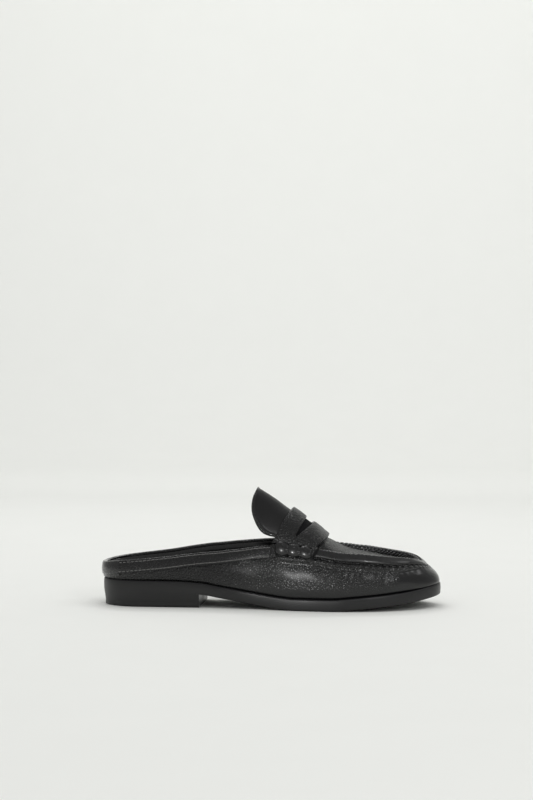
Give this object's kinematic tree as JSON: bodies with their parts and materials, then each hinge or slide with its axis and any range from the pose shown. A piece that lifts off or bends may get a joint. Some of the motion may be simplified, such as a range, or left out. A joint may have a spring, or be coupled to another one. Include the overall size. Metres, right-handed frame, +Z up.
{
  "type": "loafer mule",
  "caption": "Backless-style penny loafer mule with a low rim round the heel, moccasin seam, slotted saddle over a standing tongue, flat sole and low block heel.",
  "frame": {"origin": "on the floor, below the middle of the shoe's box", "axes": "+X from heel to toe, +Z up, the wearer's outer side is -Y"},
  "size_m": [0.264, 0.0902, 0.0901],
  "materials": {
    "pebbled_leather": "black pebbled calf, satin with a fine sparkle on the grain",
    "smooth_leather": "black smooth calf, soft gloss",
    "lining_leather": "black lining leather, satin",
    "sole_rubber": "black rubber with a smooth satin edge",
    "heel_block": "black lacquered block, satin"
  },
  "bodies": {
    "root": {"outsole": "sole_rubber", "heel": "heel_block", "top_piece": "sole_rubber", "insole": "lining_leather", "upper": "pebbled_leather", "tongue": "smooth_leather", "saddle": "smooth_leather", "beef_roll_outer": "smooth_leather", "beef_roll_inner": "smooth_leather", "collar_band_outer": "pebbled_leather", "collar_band_inner": "pebbled_leather", "back_tab": "smooth_leather"}
  },
  "joints": []
}
